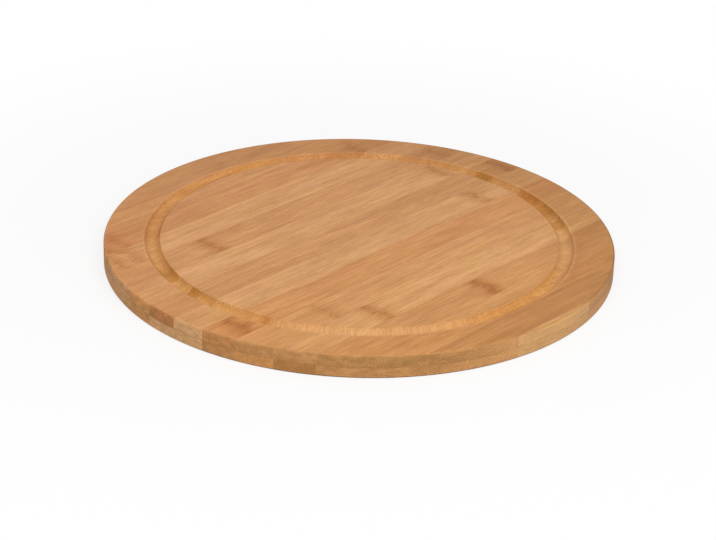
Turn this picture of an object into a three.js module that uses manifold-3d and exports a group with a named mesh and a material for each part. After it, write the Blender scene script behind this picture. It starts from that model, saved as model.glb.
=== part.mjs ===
// A round bamboo cutting board: two plies of edge-glued slats, with a juice groove in the top face.
// Millimetres, +Z up. The origin is the centre of the underside, and the slats run along X.

import * as THREE from 'three';
import { mergeVertices } from 'three/addons/utils/BufferGeometryUtils.js';
import Module from 'manifold-3d';

// Driving dimensions
const boardDiameter = 300;
const plyThickness = 6.75; // strip stock, the same in both plies
const slatWidth = 20.85;
const glueLine = 0.1; // film between neighbouring slats, and between the plies
const narrowestSlat = 1; // a strip narrower than this at the rim is not laid
const edgeRadius = 1.2; // eased corner of the rim, above and below
const rimWidth = 23.8; // from the rim to the outer lip of the groove
const cutterRadius = 4.75; // round-nosed cutter that runs the groove
const grooveDepth = 3.2;

// Facets
const turnFacets = 120;
const edgeFacets = 4;
const grooveFacets = 10;

// Sizes that follow
const boardRadius = boardDiameter / 2;
const slatPitch = slatWidth + glueLine;
const boardThickness = 2 * plyThickness + glueLine;
const coveDepth = Math.min(grooveDepth, cutterRadius);
const grooveHalfWidth = Math.sqrt(coveDepth * (2 * cutterRadius - coveDepth));
const grooveRadius = boardRadius - rimWidth - grooveHalfWidth;

// Bamboo tones
const tones = { pale: 0xd9ad78, tan: 0xcc9a62, russet: 0xb98350 };

// The two plies: the height of each one's glued face, which way its stock lies from there,
// and its slats' tones from the -Y rim to the +Y rim
const plies = [
  {
    name: 'lower',
    gluedFace: plyThickness,
    outward: -1,
    tones: ['pale', 'tan', 'pale', 'tan', 'russet', 'tan', 'pale', 'tan',
      'pale', 'tan', 'russet', 'tan', 'pale', 'tan', 'tan', 'pale'],
  },
  {
    name: 'upper',
    gluedFace: plyThickness + glueLine,
    outward: 1,
    tones: ['pale', 'russet', 'tan', 'tan', 'pale', 'tan', 'russet', 'pale',
      'tan', 'pale', 'tan', 'pale', 'russet', 'tan', 'tan', 'tan'],
  },
];

const wasm = await Module();
wasm.setup();

// A closed solid from a three.js geometry, with its seam and its pole closed up.
function toSolid(geometry) {
  geometry.deleteAttribute('normal');
  geometry.deleteAttribute('uv');
  const merged = mergeVertices(geometry);
  const corners = merged.index.array;
  const triVerts = [];
  for (let i = 0; i < corners.length; i += 3) {
    const [a, b, c] = corners.slice(i, i + 3);
    if (a !== b && b !== c && c !== a) triVerts.push(a, b, c);
  }
  return new wasm.Manifold(new wasm.Mesh({
    numProp: 3,
    vertProperties: new Float32Array(merged.attributes.position.array),
    triVerts: new Uint32Array(triVerts),
  }));
}

function toGeometry(solid) {
  const mesh = solid.getMesh();
  const geometry = new THREE.BufferGeometry();
  geometry.setAttribute('position', new THREE.BufferAttribute(mesh.vertProperties, 3));
  geometry.setIndex(new THREE.BufferAttribute(mesh.triVerts, 1));
  geometry.computeVertexNormals();
  return geometry;
}

// A round stretch of the board's section, as points of distance from the axis and height.
function arc(centreRadius, centreHeight, radius, from, to, facets) {
  return new THREE.EllipseCurve(centreRadius, centreHeight, radius, radius, from, to, to < from).getPoints(facets);
}

// The board's half section, from the centre of the underside round the rim and through the groove to the top.
function boardSection() {
  const quarter = Math.PI / 2;
  const easedRadius = boardRadius - edgeRadius;
  const cutterHeight = boardThickness - grooveDepth + cutterRadius;
  const lipAngle = -Math.asin(1 - coveDepth / cutterRadius);
  return [
    new THREE.Vector2(0, 0),
    ...arc(easedRadius, edgeRadius, edgeRadius, -quarter, 0, edgeFacets),
    ...arc(easedRadius, boardThickness - edgeRadius, edgeRadius, 0, quarter, edgeFacets),
    new THREE.Vector2(grooveRadius + grooveHalfWidth, boardThickness),
    ...arc(grooveRadius, cutterHeight, cutterRadius, lipAngle, -Math.PI - lipAngle, grooveFacets),
    new THREE.Vector2(grooveRadius - grooveHalfWidth, boardThickness),
    new THREE.Vector2(0, boardThickness),
  ];
}

// The glued-up board as it leaves the lathe and the router, before it is told apart into slats.
function boardBlank() {
  const geometry = new THREE.LatheGeometry(boardSection(), turnFacets);
  geometry.rotateX(Math.PI / 2);
  return toSolid(geometry);
}

// The -Y side of each slat that lies on the board, from the -Y rim to the +Y rim. The middle seam is on the X axis.
function slatSides() {
  const sides = [];
  const reach = Math.ceil(boardRadius / slatPitch);
  for (let i = -reach; i < reach; i++) {
    const side = i * slatPitch + glueLine / 2;
    const widthOnBoard = Math.min(side + slatWidth, boardRadius) - Math.max(side, -boardRadius);
    if (widthOnBoard > narrowestSlat) sides.push(side);
  }
  return sides;
}

// One strip of stock on its ply's glued face, longer than the board and thicker than the finished ply.
function strip(side, ply) {
  const height = 2 * plyThickness;
  const geometry = new THREE.BoxGeometry(2 * boardDiameter, slatWidth, height);
  geometry.translate(0, side + slatWidth / 2, ply.gluedFace + ply.outward * height / 2);
  return toSolid(geometry);
}

const board = new THREE.Group();
const blank = boardBlank();
for (const ply of plies) {
  slatSides().forEach((side, index) => {
    const tone = ply.tones[index % ply.tones.length];
    const material = new THREE.MeshStandardMaterial({ color: tones[tone], roughness: 0.55, metalness: 0 });
    const slat = new THREE.Mesh(toGeometry(blank.intersect(strip(side, ply))), material);
    slat.name = `${ply.name}_slat_${String(index + 1).padStart(2, '0')}`;
    board.add(slat);
  });
}

export default board;
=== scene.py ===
"""A round cutting board of two plies of bamboo slats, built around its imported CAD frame.

Metres, +Z up. The slats run along X, and the origin is the centre of the underside.
"""

import math
from typing import NamedTuple

import bmesh
import bpy
from mathutils import Matrix, Vector


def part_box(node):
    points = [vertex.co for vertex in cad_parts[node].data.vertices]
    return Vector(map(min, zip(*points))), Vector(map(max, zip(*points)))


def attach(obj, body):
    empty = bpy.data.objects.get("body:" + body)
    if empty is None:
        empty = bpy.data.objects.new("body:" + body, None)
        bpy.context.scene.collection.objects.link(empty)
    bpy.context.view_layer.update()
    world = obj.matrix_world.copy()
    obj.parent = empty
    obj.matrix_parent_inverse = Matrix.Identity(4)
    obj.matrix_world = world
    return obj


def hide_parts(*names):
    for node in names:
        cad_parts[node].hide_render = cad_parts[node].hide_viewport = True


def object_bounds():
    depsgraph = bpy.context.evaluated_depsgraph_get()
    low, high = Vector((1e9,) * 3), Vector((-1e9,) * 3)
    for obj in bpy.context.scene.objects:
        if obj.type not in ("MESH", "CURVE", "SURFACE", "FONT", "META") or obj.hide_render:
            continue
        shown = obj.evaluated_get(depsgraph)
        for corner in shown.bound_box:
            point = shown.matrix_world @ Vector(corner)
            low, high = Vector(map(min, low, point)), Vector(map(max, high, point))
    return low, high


bl_info = {
    "name": "Round Bamboo Cutting Board",
    "version": (1, 0, 0),
    "blender": (4, 5, 0),
    "location": "3D View > Sidebar > Board",
    "description": "Builds a two-ply bamboo cutting board with a juice groove, and its studio",
    "category": "Object",
}

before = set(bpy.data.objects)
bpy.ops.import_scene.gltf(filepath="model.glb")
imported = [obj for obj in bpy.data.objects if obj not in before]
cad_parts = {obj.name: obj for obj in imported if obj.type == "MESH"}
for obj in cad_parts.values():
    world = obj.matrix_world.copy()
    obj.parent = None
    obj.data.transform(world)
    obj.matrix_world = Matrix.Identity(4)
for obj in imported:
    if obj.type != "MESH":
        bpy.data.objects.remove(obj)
cad_low, cad_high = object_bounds()

BODY = "root"
MM_PER_M = 1000
CLOSE = 1e-6  # metres, under which two planes count as one
ON_CUT = 1e-7  # metres, within which a corner counts as on the saw's plane
LEVEL = 0.9999  # part of a normal along Z, from which a face counts as flat
SAWN = 0.99999  # part of a normal along Y, from which a face counts as a sawn side
SENSOR_WIDTH = 36.0  # millimetres
FLOOR_SEEN = (0.92, 0.92, 0.92)
FLOOR_BOUNCE = (0.55, 0.55, 0.55)  # dimmer, so that the floor lights the rim less

# Numbers of the bamboo, in millimetres where they are lengths
SEED_STEP = 3.7  # between neighbours, so that each slat has its own grain
FIRST_SEEDS = {"lower": 3.7, "upper": 65.0}
HALO_REACH = 13.0  # of a knuckle's stain along the slat
CORE_REACH = 8.5  # of a knuckle's dark strokes
GOLD_SHIFT = 12  # of the groove's golden stretch towards +X
MARK_WIDTH = 0.85  # of the cutter's marks along the groove
MARK_LENGTH = 14  # of the cutter's marks across the groove
LIGHT_STREAK = (1.23, 1.31, 1.43)  # of a slat's tone
FRESH_CUT = (1.08, 1.08, 1.06)  # tint of the groove between the cutter's marks


# The slats

class Knuckle(NamedTuple):
    """A joint of the bamboo stem, seen as a stained band across a slat."""

    along: float  # millimetres from the middle of the slat
    stain: float  # from 0, faint, to 1, dark


class Burn(NamedTuple):
    """A brown mark that the cutter left in the groove, in millimetres."""

    along: float
    across: float
    reach: float


class Slat(NamedTuple):
    """One strip of bamboo as it lies in its ply."""

    tone: str
    shade: float = 1.0  # lightness against its tone
    end: str = "tan"  # tone of its end grain
    skin_up: bool = True  # the dense outer side of the stem faces up
    knuckles: tuple = ()
    burns: tuple = ()
    bleach: float = 0.0  # from 0, its own tone, to 1, the bleached one
    blush: float = 0.0  # from 0, its own tone, to 1, the russet one


# From the -Y rim to the +Y rim
UPPER_SLATS = (
    Slat("pale", 1.0, "pale", bleach=1.0),
    Slat("russet", 0.94, "tan"),
    Slat("tan", 1.04, "tan", blush=0.7),
    Slat("tan", 1.01, "tan", True, (Knuckle(3, 1.0),), blush=0.7),
    Slat("pale", 1.01, "amber", False, (Knuckle(-64.5, 0.65),), (Burn(104, -66, 12),)),
    Slat("tan", 1.03, "amber", True, (Knuckle(-85.5, 0.35),), (Burn(113, -50, 13),)),
    Slat("russet", 1.06, "copper", True, (Knuckle(-132, 0.85),), (Burn(119, -32, 14), Burn(-115, -35, 6))),
    Slat("pale", 0.99, "pale", True, (Knuckle(94.5, 0.6),)),
    Slat("tan", 0.97, "russet", False, (Knuckle(142, 0.7),), (Burn(-117, 17, 6), Burn(121, 9, 10))),
    Slat("pale", 1.0, "honey", True, (Knuckle(108, 0.55),), (Burn(-112, 39, 6),)),
    Slat("tan", 0.99, "grey", True, (Knuckle(-70.5, 0.7), Knuckle(129, 0.3)), (Burn(-110, 46, 8),)),
    Slat("pale", 1.01, "grey", False, (Knuckle(-126, 0.5), Knuckle(-114, 0.45))),
    Slat("russet", 1.02, "grey", True, (Knuckle(97, 0.35), Knuckle(-118, 0.5), Knuckle(-106, 0.45))),
    Slat("tan", 1.0, "honey"),
    Slat("tan", 0.96, "amber", False),
    Slat("tan", 0.96, "amber"),
)
LOWER_SLATS = (
    Slat("pale", 0.95, "pale", bleach=1.0),
    Slat("tan", 1.0, "amber", True, (Knuckle(20, 0.5),)),
    Slat("pale", 0.98, "amber"),
    Slat("tan", 1.0, "amber", True, (Knuckle(-40, 0.7), Knuckle(118, 0.4))),
    Slat("russet", 1.0, "brown", False),
    Slat("tan", 1.02, "honey", True, (Knuckle(75, 0.6),)),
    Slat("pale", 1.0, "amber", True, (Knuckle(-96, 0.5),)),
    Slat("tan", 0.98, "pale", False, (Knuckle(12, 0.8),)),
    Slat("pale", 1.03, "pale", True, (Knuckle(-110, 0.4),)),
    Slat("tan", 1.0, "honey", True, (Knuckle(60, 0.5),)),
    Slat("russet", 1.0, "grey", True, (Knuckle(-25, 0.6),)),
    Slat("tan", 0.99, "grey", False, (Knuckle(104, 0.7),)),
    Slat("pale", 1.0, "grey"),
    Slat("tan", 0.97, "amber", True, (Knuckle(-58, 0.6),)),
    Slat("tan", 1.0, "honey", False),
    Slat("pale", 1.0, "pale"),
)


class BoardSizes(bpy.types.PropertyGroup):
    """Sizes of the board's section and of its mesh."""

    edge_radius: bpy.props.FloatProperty(
        name="Edge radius", description="Eased corner of the rim, above and below",
        default=0.0012, min=0, unit="LENGTH")
    rim_width: bpy.props.FloatProperty(
        name="Rim width", description="From the rim to the outer lip of the groove",
        default=0.0238, min=0, unit="LENGTH")
    cutter_radius: bpy.props.FloatProperty(
        name="Cutter radius", description="Round-nosed cutter that runs the groove",
        default=0.00475, min=0, unit="LENGTH")
    groove_depth: bpy.props.FloatProperty(
        name="Groove depth", description="Deepest point of the groove below the top face",
        default=0.0032, min=0, unit="LENGTH")
    lip_radius: bpy.props.FloatProperty(
        name="Lip radius", description="Sanded lips of the groove",
        default=0.0004, min=0, unit="LENGTH")
    glue_recess: bpy.props.FloatProperty(
        name="Glue recess", description="How far the glue lies under the sanded faces",
        default=0.00002, min=0, unit="LENGTH")
    turn_steps: bpy.props.IntProperty(
        name="Turn steps", description="Steps of the section round the board's axis", default=360, min=24)
    edge_steps: bpy.props.IntProperty(
        name="Edge steps", description="Steps round each eased corner of the rim", default=8, min=1)
    lip_steps: bpy.props.IntProperty(
        name="Lip steps", description="Steps round each lip of the groove", default=4, min=1)
    groove_steps: bpy.props.IntProperty(
        name="Groove steps", description="Steps across the groove", default=20, min=4)


def colour(name, description, default):
    """A colour that the user can change."""
    return bpy.props.FloatVectorProperty(
        name=name, description=description, default=default, size=3, min=0, max=1, subtype="COLOR")


class BambooColours(bpy.types.PropertyGroup):
    """Colours of the bamboo and of the glue."""

    pale: colour("Pale", "Pale slats", (0.692, 0.346, 0.141))
    tan: colour("Tan", "Most of the slats", (0.651, 0.309, 0.118))
    russet: colour("Russet", "Darker slats", (0.615, 0.275, 0.098))
    bleached: colour("Bleached", "The palest slats, at the rim", (0.718, 0.396, 0.170))
    deep: colour("Deep", "Tint of the darker streaks", (0.790, 0.715, 0.605))
    rosy: colour("Rosy", "Tint of the rosy streaks", (0.995, 0.972, 1.000))
    golden: colour("Golden", "Tint of the golden streaks", (0.985, 1.000, 0.880))
    mottle: colour("Mottle", "Tint of the darker blotches", (0.930, 0.905, 0.870))
    fibre: colour("Fibre", "Fibre bundles, seen as streaks and as dots on end grain", (0.270, 0.105, 0.032))
    halo: colour("Halo", "Tint of the wood round the knuckles", (0.830, 0.705, 0.490))
    dash: colour("Dash", "Short dark strokes in the knuckles", (0.360, 0.115, 0.018))
    glue: colour("Glue", "Glue lines", (0.520, 0.245, 0.088))
    end_pale: colour("Pale end", "Pale end grain", (0.680, 0.380, 0.167))
    end_grey: colour("Grey end", "Greyish end grain", (0.630, 0.330, 0.132))
    end_honey: colour("Honey end", "Honey-coloured end grain", (0.620, 0.292, 0.095))
    end_amber: colour("Amber end", "Amber end grain", (0.520, 0.253, 0.088))
    end_copper: colour("Copper end", "Copper-coloured end grain", (0.520, 0.232, 0.076))
    end_tan: colour("Tan end", "Tan end grain", (0.446, 0.224, 0.074))
    end_brown: colour("Brown end", "Brown end grain", (0.450, 0.203, 0.060))
    end_russet: colour("Russet end", "Russet end grain", (0.478, 0.195, 0.068))
    near_band: colour("Near band", "Tint of the top outside the groove, towards -X", (0.985, 0.950, 0.890))
    far_band: colour("Far band", "Tint of the top outside the groove, towards +X", (0.870, 0.830, 0.720))
    # Painted shade: the top darker towards its +X side, where the light falls off
    far_side_shade: colour("Far side shade", "Tint of the top near its +X side", (0.900, 0.890, 0.840))
    groove_gold: colour(
        "Groove gold", "Tint of the groove where it runs along the grain", (1.000, 1.000, 0.800))
    groove_near: colour(
        "Near groove", "The groove where it crosses the grain, at the front", (0.720, 0.415, 0.185))
    groove_far: colour(
        "Far groove", "Tint of the groove where it crosses the grain, at +X", (1.000, 1.000, 0.890))
    groove_torn: colour("Torn groove", "Tint of the fibres that the cutter tore", (0.880, 0.850, 0.760))
    groove_marks: colour(
        "Groove marks", "Tint of the cutter's fine marks across the groove", (0.860, 0.830, 0.740))
    burn: colour("Burn", "Tint of the cutter's brown marks", (0.830, 0.750, 0.500))
    joint: colour("Joint", "Tint of the rim where the plies meet", (0.870, 0.835, 0.780))
    # Painted shade on the rim's upper corner, deepening towards +X
    upper_edge_shade: colour("Upper edge shade", "Tint of the rim's upper corner", (0.760, 0.700, 0.620))
    # Painted shadow: the rim's lower corner darkened as in the contact shadow over the floor
    foot_edge_shadow: colour("Foot edge", "Tint of the rim's lower corner", (0.500, 0.440, 0.380))


class Studio(bpy.types.PropertyGroup):
    """The camera, the lamps and the floor."""

    camera_aim: bpy.props.FloatVectorProperty(
        name="Camera aim", description="Point that the camera looks at",
        default=(-0.0334, -0.0297, 0.0136), size=3, subtype="XYZ", unit="LENGTH")
    camera_azimuth: bpy.props.FloatProperty(
        name="Camera azimuth", description="Turn of the camera from looking along +Y",
        default=math.radians(-48.01), subtype="ANGLE")
    camera_elevation: bpy.props.FloatProperty(
        name="Camera elevation", description="Height of the camera above the horizon",
        default=math.radians(25.84), subtype="ANGLE")
    camera_roll: bpy.props.FloatProperty(
        name="Camera roll", description="Turn of the camera about its own view",
        default=math.radians(1.76), subtype="ANGLE")
    camera_distance: bpy.props.FloatProperty(
        name="Camera distance", description="From the aim to the camera", default=1.3732, unit="LENGTH")
    lens: bpy.props.FloatProperty(
        name="Lens", description="Focal length in millimetres", default=120.67)
    sky: bpy.props.FloatProperty(
        name="Sky light", description="Strength of the even light from all round", default=0.50)
    key: bpy.props.FloatProperty(
        name="Key light", description="Power of the large soft lamp", default=24.7, unit="POWER")
    key_place: bpy.props.FloatVectorProperty(
        name="Key place", description="Where the large soft lamp hangs",
        default=(-0.76, -1.02, 1.27), size=3, subtype="XYZ", unit="LENGTH")
    key_size: bpy.props.FloatProperty(
        name="Key size", description="Side of the large soft lamp", default=1.6, unit="LENGTH")
    floor_size: bpy.props.FloatProperty(
        name="Floor size", description="Side of the floor", default=12.0, unit="LENGTH")
    floor_drop: bpy.props.FloatProperty(
        name="Floor drop", description="Gap between the board and the floor", default=0.0001, unit="LENGTH")
    floor_white: bpy.props.FloatProperty(
        name="Floor white", description="Share of plain white in the floor beside the board", default=0.78)
    floor_near: bpy.props.FloatProperty(
        name="Floor near", description="Where the floor starts to turn plain white",
        default=0.17, unit="LENGTH")
    floor_far: bpy.props.FloatProperty(
        name="Floor far", description="Where the floor is plain white", default=0.40, unit="LENGTH")


# Shader maths

class Socket:
    """An output of a shader node, with the sums that recipes are written in."""

    def __init__(self, finish, source):
        self.finish = finish
        self.source = source

    def _sum(self, operation, *terms):
        return self.finish.node("ShaderNodeMath", {"operation": operation}, dict(enumerate(terms)))

    def __add__(self, other):
        return self._sum("ADD", self, other)

    def __radd__(self, other):
        return self._sum("ADD", other, self)

    def __sub__(self, other):
        return self._sum("SUBTRACT", self, other)

    def __rsub__(self, other):
        return self._sum("SUBTRACT", other, self)

    def __mul__(self, other):
        return self._sum("MULTIPLY", self, other)

    def __rmul__(self, other):
        return self._sum("MULTIPLY", other, self)

    def __truediv__(self, other):
        return self._sum("DIVIDE", self, other)

    def __rtruediv__(self, other):
        return self._sum("DIVIDE", other, self)

    def __abs__(self):
        return self._sum("ABSOLUTE", self)

    def root(self):
        """The square root."""
        return self._sum("SQRT", self)

    def most(self, other):
        """The greater of two values."""
        return self._sum("MAXIMUM", self, other)

    def rise(self, low, high):
        """A smooth step from 0 at low to 1 at high."""
        limits = {"Value": self, "From Min": low, "From Max": high, "To Min": 0.0, "To Max": 1.0}
        return self.finish.node("ShaderNodeMapRange", {"interpolation_type": "SMOOTHSTEP"}, limits)

    def fall(self, low, high):
        """A smooth step from 1 at low to 0 at high."""
        return 1 - self.rise(low, high)


class Finish:
    """A node tree, and the calls that fill it."""

    def __init__(self, owner):
        owner.use_nodes = True
        self.tree = owner.node_tree
        self.tree.nodes.clear()

    def node(self, kind, settings=None, inputs=None, output=0):
        """Adds a node, with its settings and the values or links of its sockets."""
        made = self.tree.nodes.new(kind)
        for name, value in (settings or {}).items():
            setattr(made, name, value)
        for key, value in (inputs or {}).items():
            if isinstance(value, Socket):
                self.tree.links.new(value.source, made.inputs[key])
            else:
                made.inputs[key].default_value = value
        return Socket(self, made.outputs[output]) if made.outputs else None

    def axes(self, kind, scale=1.0):
        """The three parts of the object's place or of its normal."""
        place = self.node("ShaderNodeTexCoord", output=kind)
        parts = [self.node("ShaderNodeSeparateXYZ", {}, {"Vector": place}, axis) for axis in "XYZ"]
        return [part if scale == 1.0 else part * scale for part in parts]

    def spot(self, x, y, z):
        """A place made of three values."""
        return self.node("ShaderNodeCombineXYZ", inputs={"X": x, "Y": y, "Z": z})

    def noise(self, place, detail=2.0, roughness=0.5):
        """Soft noise, mostly between 0.3 and 0.7."""
        sockets = {"Vector": place, "Scale": 1.0, "Detail": detail, "Roughness": roughness}
        return self.node("ShaderNodeTexNoise", {}, sockets)

    def cells(self, place, scatter=1.0):
        """The distance to the nearest of scattered points, in the place's first two parts."""
        sockets = {"Vector": place, "Scale": 1.0, "Randomness": scatter}
        return self.node("ShaderNodeTexVoronoi", {"voronoi_dimensions": "2D"}, sockets)

    def blend(self, share, first, second, mode="MIX"):
        """Two colours laid over each other."""
        settings = {"data_type": "RGBA", "blend_type": mode}
        return self.node("ShaderNodeMix", settings, {0: share, 6: opaque(first), 7: opaque(second)}, 2)

    def surface(self, shader):
        """Ends the tree with a surface."""
        self.node("ShaderNodeOutputMaterial", {}, {"Surface": shader})


def opaque(tint):
    """A colour with its alpha, or a link as it is."""
    return tint if isinstance(tint, Socket) else (*tint, 1.0)


def toned(tint, factor):
    """A colour made lighter or darker."""
    return tuple(min(1.0, part * factor) for part in tint)


def mixed(share, first, second):
    """A colour between two others."""
    return tuple(one + (other - one) * share for one, other in zip(first, second))


def tinted(base, tint):
    """A colour seen through a tint."""
    return tuple(part * share for part, share in zip(base, tint))


# Finishes

class Bamboo(Finish):
    """Satin bamboo of one slat: long fibres along X, dotted end grain, knuckles and the groove."""

    def __init__(self, material, slat, box, seed, sizes):
        super().__init__(material)
        self.slat = slat
        self.seed = seed
        self.x, self.y, self.z = self.axes("Object", MM_PER_M)
        self.facing_x, _, self.facing_z = self.axes("Normal")
        self.ring = (self.x * self.x + self.y * self.y).root()
        self.radius = cad_high.x * MM_PER_M
        self.top = cad_high.z * MM_PER_M
        self.lip = self.radius - sizes.rim_width * MM_PER_M
        self.low, self.high = box[0].z * MM_PER_M, box[1].z * MM_PER_M
        self.in_upper_ply = box[1].z > cad_high.z - CLOSE
        self.joint = self.low if self.in_upper_ply else self.high
        self.end = abs(self.facing_x).rise(0.12, 0.55)
        self.wall = self.ring.rise(self.radius - 1.4, self.radius - 0.9)
        self.halo, self.core = self.knuckle_zones()
        self.across = self.bent_fibres()

    def grain(self, long, wide, detail=2.0, roughness=0.5):
        """Noise in streaks, long millimetres along the slat and wide across it."""
        place = self.spot(self.x / long + self.seed, self.across / wide, self.z / wide)
        return self.noise(place, detail, roughness)

    def bundles(self):
        """Fibre bundles along the slat: large and sparse inside the stem, small and dense at its skin."""
        skin = (self.z - self.low) / (self.high - self.low)
        dense = skin if self.slat.skin_up else 1 - skin
        large = self.dots(1.0, 1.6, 0.8, 0.38)
        small = self.dots(0.6, 0.9, 0.7, 0.42)
        return (large * (1 - dense * 0.7)).most(small * dense)

    def dots(self, wide, high, scatter, edge):
        """Bundles of one size, wide and high millimetres apart on the end grain."""
        place = self.spot(self.across / wide + self.seed, self.z / high, 0.0)
        return self.cells(place, scatter).fall(0.12, edge)

    def knuckle_zones(self):
        """The wide halo and the narrow core of the knuckles, from 0 away from them to 1 in a dark one."""
        bow = (self.noise(self.spot(self.seed, self.y / 8, self.z / 8)) - 0.5) * 12
        halo = core = 0.0 * self.x
        for knuckle in self.slat.knuckles:
            away = abs(self.x + bow - knuckle.along)
            halo = halo.most(away.fall(0.0, HALO_REACH) * knuckle.stain)
            core = core.most(away.fall(0.0, CORE_REACH) * (0.4 + 0.6 * knuckle.stain))
        return halo, core

    def bent_fibres(self):
        """The place across the slat, with fibres that wander and that swirl in the knuckles."""
        drift = self.noise(self.spot(self.x / 80 + self.seed, self.y / 22, self.z / 22)) - 0.5
        swirl = self.noise(self.spot(self.x / 5 + self.seed, self.y / 5, self.z / 5)) - 0.5
        return self.y + drift * 1.6 + swirl * self.core * 4.0

    def wood(self, colours):
        """The fibres' colour, and the heights of their relief."""
        tone = mixed(self.slat.bleach, getattr(colours, self.slat.tone), colours.bleached)
        tone = toned(mixed(self.slat.blush, tone, colours.russet), self.slat.shade)
        bands = self.grain(80, 6.5).rise(0.3, 0.7)
        streaks = self.grain(28, 1.2, 3.0, 0.6).rise(0.3, 0.7)
        hairs = self.grain(12, 0.38, 2.0).rise(0.3, 0.7)
        flecks = self.grain(2.6, 0.7, 1.0).rise(0.3, 0.7)
        depth = bands * 0.31 + streaks * 0.34 + hairs * 0.18 + flecks * 0.17
        wood = self.blend(depth, tinted(tone, LIGHT_STREAK), tinted(tone, colours.deep))
        hue = (self.grain(45, 3.4) - self.y * 0.0009).rise(0.35, 0.65)
        wood = self.blend(1.0, wood, self.blend(hue, colours.rosy, colours.golden), "MULTIPLY")
        wood = self.blend(self.grain(26, 9).rise(0.35, 0.65), wood, colours.mottle, "MULTIPLY")
        tip = getattr(colours, "end_" + self.slat.end)
        patches = self.noise(self.spot(self.seed, self.y / 5, self.z / 3)).rise(0.3, 0.7)
        tip = self.blend(depth * 0.5 + patches * 0.5, toned(tip, 1.30), toned(tip, 0.76))
        side = self.blend(depth, toned(colours.bleached, 1.15), toned(colours.bleached, 0.85))
        wood = self.blend(self.wall * 0.35, wood, side)
        wood = self.blend(self.end * self.wall, wood, tip)
        bundles = self.bundles()
        showing = self.grain(22, 2.5).rise(0.4, 0.7) * 0.25
        wood = self.blend(bundles * (self.end * (0.55 - showing) + showing), wood, colours.fibre)
        pores = self.grain(16, 0.35, 1.0).rise(0.60, 0.68)
        wood = self.blend(pores * 0.30, wood, colours.fibre)
        return wood, hairs * 0.35 + streaks * 0.35 - bundles * 0.4

    def stained(self, wood, colours):
        """The knuckles: a soft stain, and short dark strokes that gather in the middle."""
        wood = self.blend(self.halo, wood, colours.halo, "MULTIPLY")
        dashes = (self.grain(5, 0.8, 3.0) + self.core * 0.2).rise(0.52, 0.76)
        return self.blend(self.core * dashes * 0.8, wood, colours.dash)

    def edged(self, wood, colours):
        """The rim's stained ply joint, and painted shade in its eased corners: shade on the upper one that
        deepens towards +X, and a contact shadow under the lower one.
        """
        joint = abs(self.z - self.joint).fall(0.1, 0.7) * (self.end * 0.7 + 0.3)
        wood = self.blend(self.wall * joint, wood, colours.joint, "MULTIPLY")
        # Painted shade in the rim's eased corners, where they turn away from the light
        corner = self.wall * abs(self.facing_z).rise(0.15, 0.5)
        if self.in_upper_ply:
            # Painted shade on the upper corner, growing towards +X
            return self.blend(corner * self.x.rise(-160, 100), wood, colours.upper_edge_shade, "MULTIPLY")
        # Painted contact shadow on the lower corner
        return self.blend(corner, wood, colours.foot_edge_shadow, "MULTIPLY")

    def routed(self, wood, colours):
        """The groove with its cutter's marks and burns, and the band outside it."""
        inside = self.ring.fall(self.lip + 0.3, self.lip + 0.8)
        groove = self.z.fall(self.top - 0.5, self.top - 0.05) * inside
        along_grain = (abs(self.x - GOLD_SHIFT) / self.ring).fall(0.2, 0.6)
        front = self.y.fall(-60, 5) * self.x.fall(70, 115) * (1 - along_grain * 0.8)
        wood = self.blend(groove * front * 0.5, wood, colours.groove_near)
        left = self.x.fall(-100, 40)
        tint = self.blend(along_grain.most(left), colours.groove_far, colours.groove_gold)
        wood = self.blend(groove * (1 - front), wood, tint, "MULTIPLY")
        wood = self.marked(wood, groove, colours)
        wood = self.burnt(wood, groove, colours)
        up = self.facing_z.rise(0.5, 0.9)
        band = self.ring.rise(self.lip + 0.6, self.lip + 2.0)
        tint = self.blend(self.x.rise(-150, 80), colours.near_band, colours.far_band)
        wood = self.blend(band * up, wood, tint, "MULTIPLY")
        # Painted shade: the top and the groove darken towards +X, where the light falls off
        return self.blend(self.x.rise(60, 150) * up.most(groove), wood, colours.far_side_shade, "MULTIPLY")

    def marked(self, wood, groove, colours):
        """Torn fibres, and the cutter's fine marks straight across the groove, strongest at the front."""
        torn = self.noise(self.spot(self.x / 2.4 + self.seed, self.y / 1.1, self.z / 0.8))
        wood = self.blend(groove * torn.rise(0.35, 0.65) * 0.3, wood, colours.groove_torn, "MULTIPLY")
        turn = self.lip / MARK_WIDTH
        run = self.spot(self.x / self.ring * turn, self.y / self.ring * turn, self.ring / MARK_LENGTH)
        strength = self.y.fall(-60, 20) * self.x.fall(60, 120) * 0.75 + 0.25
        marks = self.blend(self.noise(run, 1.0).rise(0.35, 0.65), FRESH_CUT, colours.groove_marks)
        return self.blend(groove * strength * 0.68, wood, marks, "MULTIPLY")

    def burnt(self, wood, groove, colours):
        """The cutter's brown burns in the groove."""
        for burn in self.slat.burns:
            aside_x, aside_y = self.x - burn.along, self.y - burn.across
            far = (aside_x * aside_x + aside_y * aside_y).root()
            patch = far.fall(burn.reach * 0.45, burn.reach) * self.grain(12, 5).rise(0.1, 0.5)
            wood = self.blend(groove * patch, wood, colours.burn, "MULTIPLY")
        return wood


def bamboo(name, slat, box, seed, scene):
    """The finish of one slat."""
    material = bpy.data.materials.new(name)
    colours = scene.bamboo_colours
    finish = Bamboo(material, slat, box, seed, scene.board_sizes)
    wood, relief = finish.wood(colours)
    if slat.knuckles:
        wood = finish.stained(wood, colours)
    if finish.in_upper_ply:
        wood = finish.routed(wood, colours)
    wood = finish.edged(wood, colours)
    bump = finish.node("ShaderNodeBump", {}, {"Strength": 0.25, "Distance": 0.0001, "Height": relief})
    sockets = {"Base Color": wood, "Roughness": relief * 0.1 + finish.end * 0.1 + 0.5, "Normal": bump,
               "Specular IOR Level": 0.2}
    finish.surface(finish.node("ShaderNodeBsdfPrincipled", {}, sockets))
    return material


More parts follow.
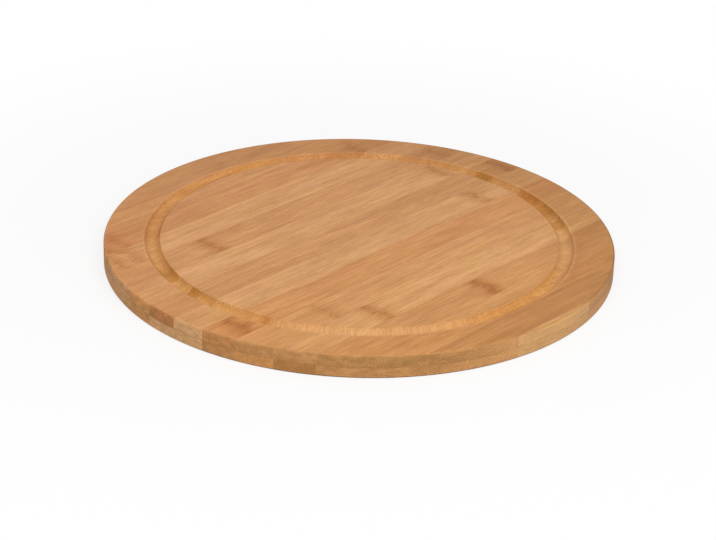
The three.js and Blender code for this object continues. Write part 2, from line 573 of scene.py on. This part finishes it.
def glue(colours):
    """Cured glue: amber, a little uneven."""
    material = bpy.data.materials.new("glue_line")
    finish = Finish(material)
    x, y, z = finish.axes("Object", MM_PER_M)
    uneven = finish.noise(finish.spot(x / 9, y / 9, z / 2), 3.0).rise(0.3, 0.7)
    tint = finish.blend(uneven, toned(colours.glue, 0.8), toned(colours.glue, 1.25))
    sockets = {"Base Color": tint, "Roughness": uneven * 0.1 + 0.4}
    finish.surface(finish.node("ShaderNodeBsdfPrincipled", {}, sockets))
    return material


def seen(finish):
    """1 where the camera, a reflection or a clear surface looks at the stage, and 0 for its light."""
    rays = [finish.node("ShaderNodeLightPath", output=kind)
            for kind in ("Is Camera Ray", "Is Glossy Ray", "Is Transmission Ray")]
    return rays[0].most(rays[1]).most(rays[2])


def floor_white(studio):
    """A white floor that keeps a faint shadow."""
    material = bpy.data.materials.new("studio_floor")
    finish = Finish(material)
    lit = finish.node("ShaderNodeBsdfDiffuse", {}, {"Color": opaque(FLOOR_SEEN)})
    dim = finish.node("ShaderNodeBsdfDiffuse", {}, {"Color": opaque(FLOOR_BOUNCE)})
    white = finish.node("ShaderNodeEmission", {}, {"Strength": 1.0})
    x, y, _ = finish.axes("Object")
    away = (x * x + y * y).root().rise(studio.floor_near, studio.floor_far)
    share = away * (1 - studio.floor_white) + studio.floor_white
    shown = finish.node("ShaderNodeMixShader", {}, {0: share, 1: lit, 2: white})
    finish.surface(finish.node("ShaderNodeMixShader", {}, {0: seen(finish), 1: dim, 2: shown}))
    return material


# Shapes

def turned_board(sizes, inset=0.0):
    """The board as it leaves the lathe and the router, with its faces moved in by inset."""
    radius = cad_high.x - inset
    bottom = cad_low.z + inset
    top = cad_high.z - inset
    cutter = sizes.cutter_radius + inset
    centre = Vector((0, 0, cad_high.z - sizes.groove_depth + sizes.cutter_radius))
    open_half = math.sqrt(sizes.groove_depth * (2 * sizes.cutter_radius - sizes.groove_depth))
    centre.x = cad_high.x - sizes.rim_width - open_half
    drop = centre.z - top
    half = math.sqrt(cutter * cutter - drop * drop)
    sweep = math.pi - 2 * math.asin(drop / cutter)

    board = bmesh.new()
    section = [board.verts.new(spot) for spot in (
        (centre.x, 0, bottom), (radius, 0, bottom), (radius, 0, top), (centre.x + half, 0, top))]
    _, low_corner, high_corner, outer_lip = section
    for one, other in zip(section, section[1:]):
        board.edges.new((one, other))
    swept = bmesh.ops.spin(board, geom=[outer_lip], cent=centre, axis=(0, 1, 0),
                           angle=sweep, steps=sizes.groove_steps)
    inner_lip = next(item for item in swept["geom_last"] if isinstance(item, bmesh.types.BMVert))
    inner_end = board.verts.new((inner_lip.co.x - 2 * sizes.lip_radius, 0, top))
    board.edges.new((inner_lip, inner_end))
    for corners, size, steps in (((low_corner, high_corner), sizes.edge_radius - inset, sizes.edge_steps),
                                 ((outer_lip, inner_lip), sizes.lip_radius, sizes.lip_steps)):
        bmesh.ops.bevel(board, geom=list(corners), offset=size, segments=steps, profile=0.5,
                        affect="VERTICES", material=-1)
    bmesh.ops.spin(board, geom=board.verts[:] + board.edges[:], cent=(0, 0, 0), axis=(0, 0, 1),
                   angle=2 * math.pi, steps=sizes.turn_steps, use_merge=True)
    close(board)
    return board


def close(solid):
    """Fills each open loop with one face."""
    open_edges = [edge for edge in solid.edges if edge.is_boundary]
    bmesh.ops.edgeloop_fill(solid, edges=open_edges)


def cut(solid, place, outward):
    """Saws off what lies past a plane, and closes the cut."""
    bmesh.ops.bisect_plane(solid, geom=solid.verts[:] + solid.edges[:] + solid.faces[:], dist=ON_CUT,
                           plane_co=place, plane_no=outward, clear_outer=True)
    close(solid)


def ply_of(board, low, high):
    """The part of the board between two heights."""
    ply = board.copy()
    if low > cad_low.z + CLOSE:
        cut(ply, (0, 0, low), (0, 0, -1))
    if high < cad_high.z - CLOSE:
        cut(ply, (0, 0, high), (0, 0, 1))
    return ply


def strips(ply, spans):
    """Saws a ply into strips, given each one's -Y and +Y sides, from the -Y rim to the +Y rim."""
    rest = ply.copy()
    for low, high in spans:
        if low > cad_low.y + CLOSE:
            cut(rest, (0, low, 0), (0, -1, 0))
        strip = rest.copy()
        if high < cad_high.y - CLOSE:
            cut(strip, (0, high, 0), (0, 1, 0))
        yield strip
    rest.free()


def shade_round_faces(solid):
    """Smooths the turned faces, and keeps the flat faces flat and their edges sharp."""
    solid.normal_update()
    for face in solid.faces:
        normal = face.normal
        face.smooth = abs(normal.z) < LEVEL and abs(normal.y) < SAWN
    for edge in solid.edges:
        edge.smooth = all(face.smooth for face in edge.link_faces)


def place_piece(solid, name, material):
    """Makes a piece of the board from a finished solid."""
    bmesh.ops.recalc_face_normals(solid, faces=solid.faces[:])
    shade_round_faces(solid)
    mesh = bpy.data.meshes.new(name)
    solid.to_mesh(mesh)
    solid.free()
    mesh.materials.append(material)
    piece = bpy.data.objects.new(name, mesh)
    bpy.context.scene.collection.objects.link(piece)
    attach(piece, BODY)
    return piece


def lay_ply(ply, slats, scene):
    """Makes the slats of one ply in place of their plain solids."""
    nodes = [f"{ply}_slat_{number:02d}" for number in range(1, len(slats) + 1)]
    boxes = [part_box(node) for node in nodes]
    board = turned_board(scene.board_sizes)
    blank = ply_of(board, boxes[0][0].z, boxes[0][1].z)
    spans = [(low.y, high.y) for low, high in boxes]
    for number, strip in enumerate(strips(blank, spans)):
        seed = SEED_STEP * number + FIRST_SEEDS[ply]
        material = bamboo(f"bamboo_{nodes[number]}", slats[number], boxes[number], seed, scene)
        piece = place_piece(strip, f"{nodes[number]}_dressed", material)
        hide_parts(nodes[number])
    blank.free()
    board.free()


def join(solids):
    """One bmesh of several."""
    joined = bmesh.new()
    for solid in solids:
        mesh = bpy.data.meshes.new("joined")
        solid.to_mesh(mesh)
        solid.free()
        joined.from_mesh(mesh)
        bpy.data.meshes.remove(mesh)
    return joined


# Operators

class LayUpperSlats(bpy.types.Operator):
    """Lay the upper ply, with the groove run through its slats"""

    bl_idname = "board.lay_upper_slats"
    bl_label = "Lay Upper Slats"

    def execute(self, context):
        lay_ply("upper", UPPER_SLATS, context.scene)
        return {"FINISHED"}


class LayLowerSlats(bpy.types.Operator):
    """Lay the lower ply, plain underneath"""

    bl_idname = "board.lay_lower_slats"
    bl_label = "Lay Lower Slats"

    def execute(self, context):
        lay_ply("lower", LOWER_SLATS, context.scene)
        return {"FINISHED"}


class SpreadGlue(bpy.types.Operator):
    """Fill the seams between the slats and between the plies with glue"""

    bl_idname = "board.spread_glue"
    bl_label = "Spread Glue"

    def execute(self, context):
        scene = context.scene
        board = turned_board(scene.board_sizes, scene.board_sizes.glue_recess)
        material = glue(scene.bamboo_colours)
        lower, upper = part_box("lower_slat_01"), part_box("upper_slat_01")
        place_piece(ply_of(board, lower[1].z, upper[0].z), "glue_between_plies", material)
        for ply, slats in (("lower", LOWER_SLATS), ("upper", UPPER_SLATS)):
            boxes = [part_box(f"{ply}_slat_{number:02d}") for number in range(1, len(slats) + 1)]
            blank = ply_of(board, boxes[0][0].z, boxes[0][1].z)
            spans = [(one[1].y, other[0].y) for one, other in zip(boxes, boxes[1:])]
            place_piece(join(strips(blank, spans)), f"glue_in_{ply}_seams", material)
            blank.free()
        board.free()
        return {"FINISHED"}


class SetStage(bpy.types.Operator):
    """Set up the floor, the lamps and the camera"""

    bl_idname = "board.set_stage"
    bl_label = "Set Stage"

    def execute(self, context):
        scene = context.scene
        studio = scene.board_studio
        lay_floor(scene, studio)
        light_sky(scene, studio)
        hang_key(scene, studio)
        stand_camera(scene, studio)
        scene.view_settings.view_transform = "Standard"
        return {"FINISHED"}


# The stage

def lay_floor(scene, studio):
    """A wide floor just under the board."""
    sheet = bmesh.new()
    bmesh.ops.create_grid(sheet, x_segments=1, y_segments=1, size=studio.floor_size / 2,
                          matrix=Matrix.Translation((0, 0, cad_low.z - studio.floor_drop)))
    mesh = bpy.data.meshes.new("studio_floor")
    sheet.to_mesh(mesh)
    sheet.free()
    mesh.materials.append(floor_white(studio))
    floor = bpy.data.objects.new("studio_floor", mesh)
    scene.collection.objects.link(floor)


def light_sky(scene, studio):
    """Even light from all round, and a plain white backdrop."""
    world = bpy.data.worlds.new("studio_sky")
    finish = Finish(world)
    strength = seen(finish) * (1 - studio.sky) + studio.sky
    sky = finish.node("ShaderNodeBackground", {}, {"Color": (1.0, 1.0, 1.0, 1.0), "Strength": strength})
    finish.node("ShaderNodeOutputWorld", {}, {"Surface": sky})
    scene.world = world


def hang_key(scene, studio):
    """The large soft lamp, turned to the board."""
    lamp = bpy.data.lights.new("key_lamp", "AREA")
    lamp.shape = "SQUARE"
    lamp.size = studio.key_size
    lamp.energy = studio.key
    key = bpy.data.objects.new("key_lamp", lamp)
    place = Vector(studio.key_place)
    key.location = place
    key.rotation_euler = (-place).to_track_quat("-Z", "Y").to_euler()
    scene.collection.objects.link(key)


def stand_camera(scene, studio):
    """The camera at the photograph's viewing angle."""
    turn, rise = studio.camera_azimuth, studio.camera_elevation
    back = Vector((math.sin(turn) * math.cos(rise), -math.cos(turn) * math.cos(rise), math.sin(rise)))
    lens = bpy.data.cameras.new("camera")
    lens.sensor_width = SENSOR_WIDTH
    lens.lens = studio.lens
    camera = bpy.data.objects.new("camera", lens)
    camera.location = Vector(studio.camera_aim) + back * studio.camera_distance
    level = (-back).to_track_quat("-Z", "Y").to_matrix()
    camera.rotation_euler = (level @ Matrix.Rotation(studio.camera_roll, 3, "Z")).to_euler()
    scene.collection.objects.link(camera)
    scene.camera = camera


class BoardPanel(bpy.types.Panel):
    """The board's sizes, colours and steps"""

    bl_idname = "VIEW3D_PT_board"
    bl_label = "Cutting Board"
    bl_space_type = "VIEW_3D"
    bl_region_type = "UI"
    bl_category = "Board"

    def draw(self, context):
        for group in (context.scene.board_sizes, context.scene.bamboo_colours, context.scene.board_studio):
            box = self.layout.box()
            for name in group.__annotations__:
                box.prop(group, name)
        for step in STEPS:
            self.layout.operator(step.bl_idname)


STEPS = (LayLowerSlats, LayUpperSlats, SpreadGlue, SetStage)
GROUPS = {"board_sizes": BoardSizes, "bamboo_colours": BambooColours, "board_studio": Studio}


def register():
    """Registers the groups, the operators and the panel."""
    for name, group in GROUPS.items():
        bpy.utils.register_class(group)
        setattr(bpy.types.Scene, name, bpy.props.PointerProperty(type=group))
    for part in (*STEPS, BoardPanel):
        bpy.utils.register_class(part)


def unregister():
    """Takes back what register() did."""
    for part in reversed((*STEPS, BoardPanel)):
        bpy.utils.unregister_class(part)
    for name, group in GROUPS.items():
        delattr(bpy.types.Scene, name)
        bpy.utils.unregister_class(group)


def main():
    """Builds the board and its stage."""
    register()
    bpy.ops.board.lay_lower_slats()
    bpy.ops.board.lay_upper_slats()
    bpy.ops.board.spread_glue()
    bpy.ops.board.set_stage()


if __name__ == "__main__":
    main()
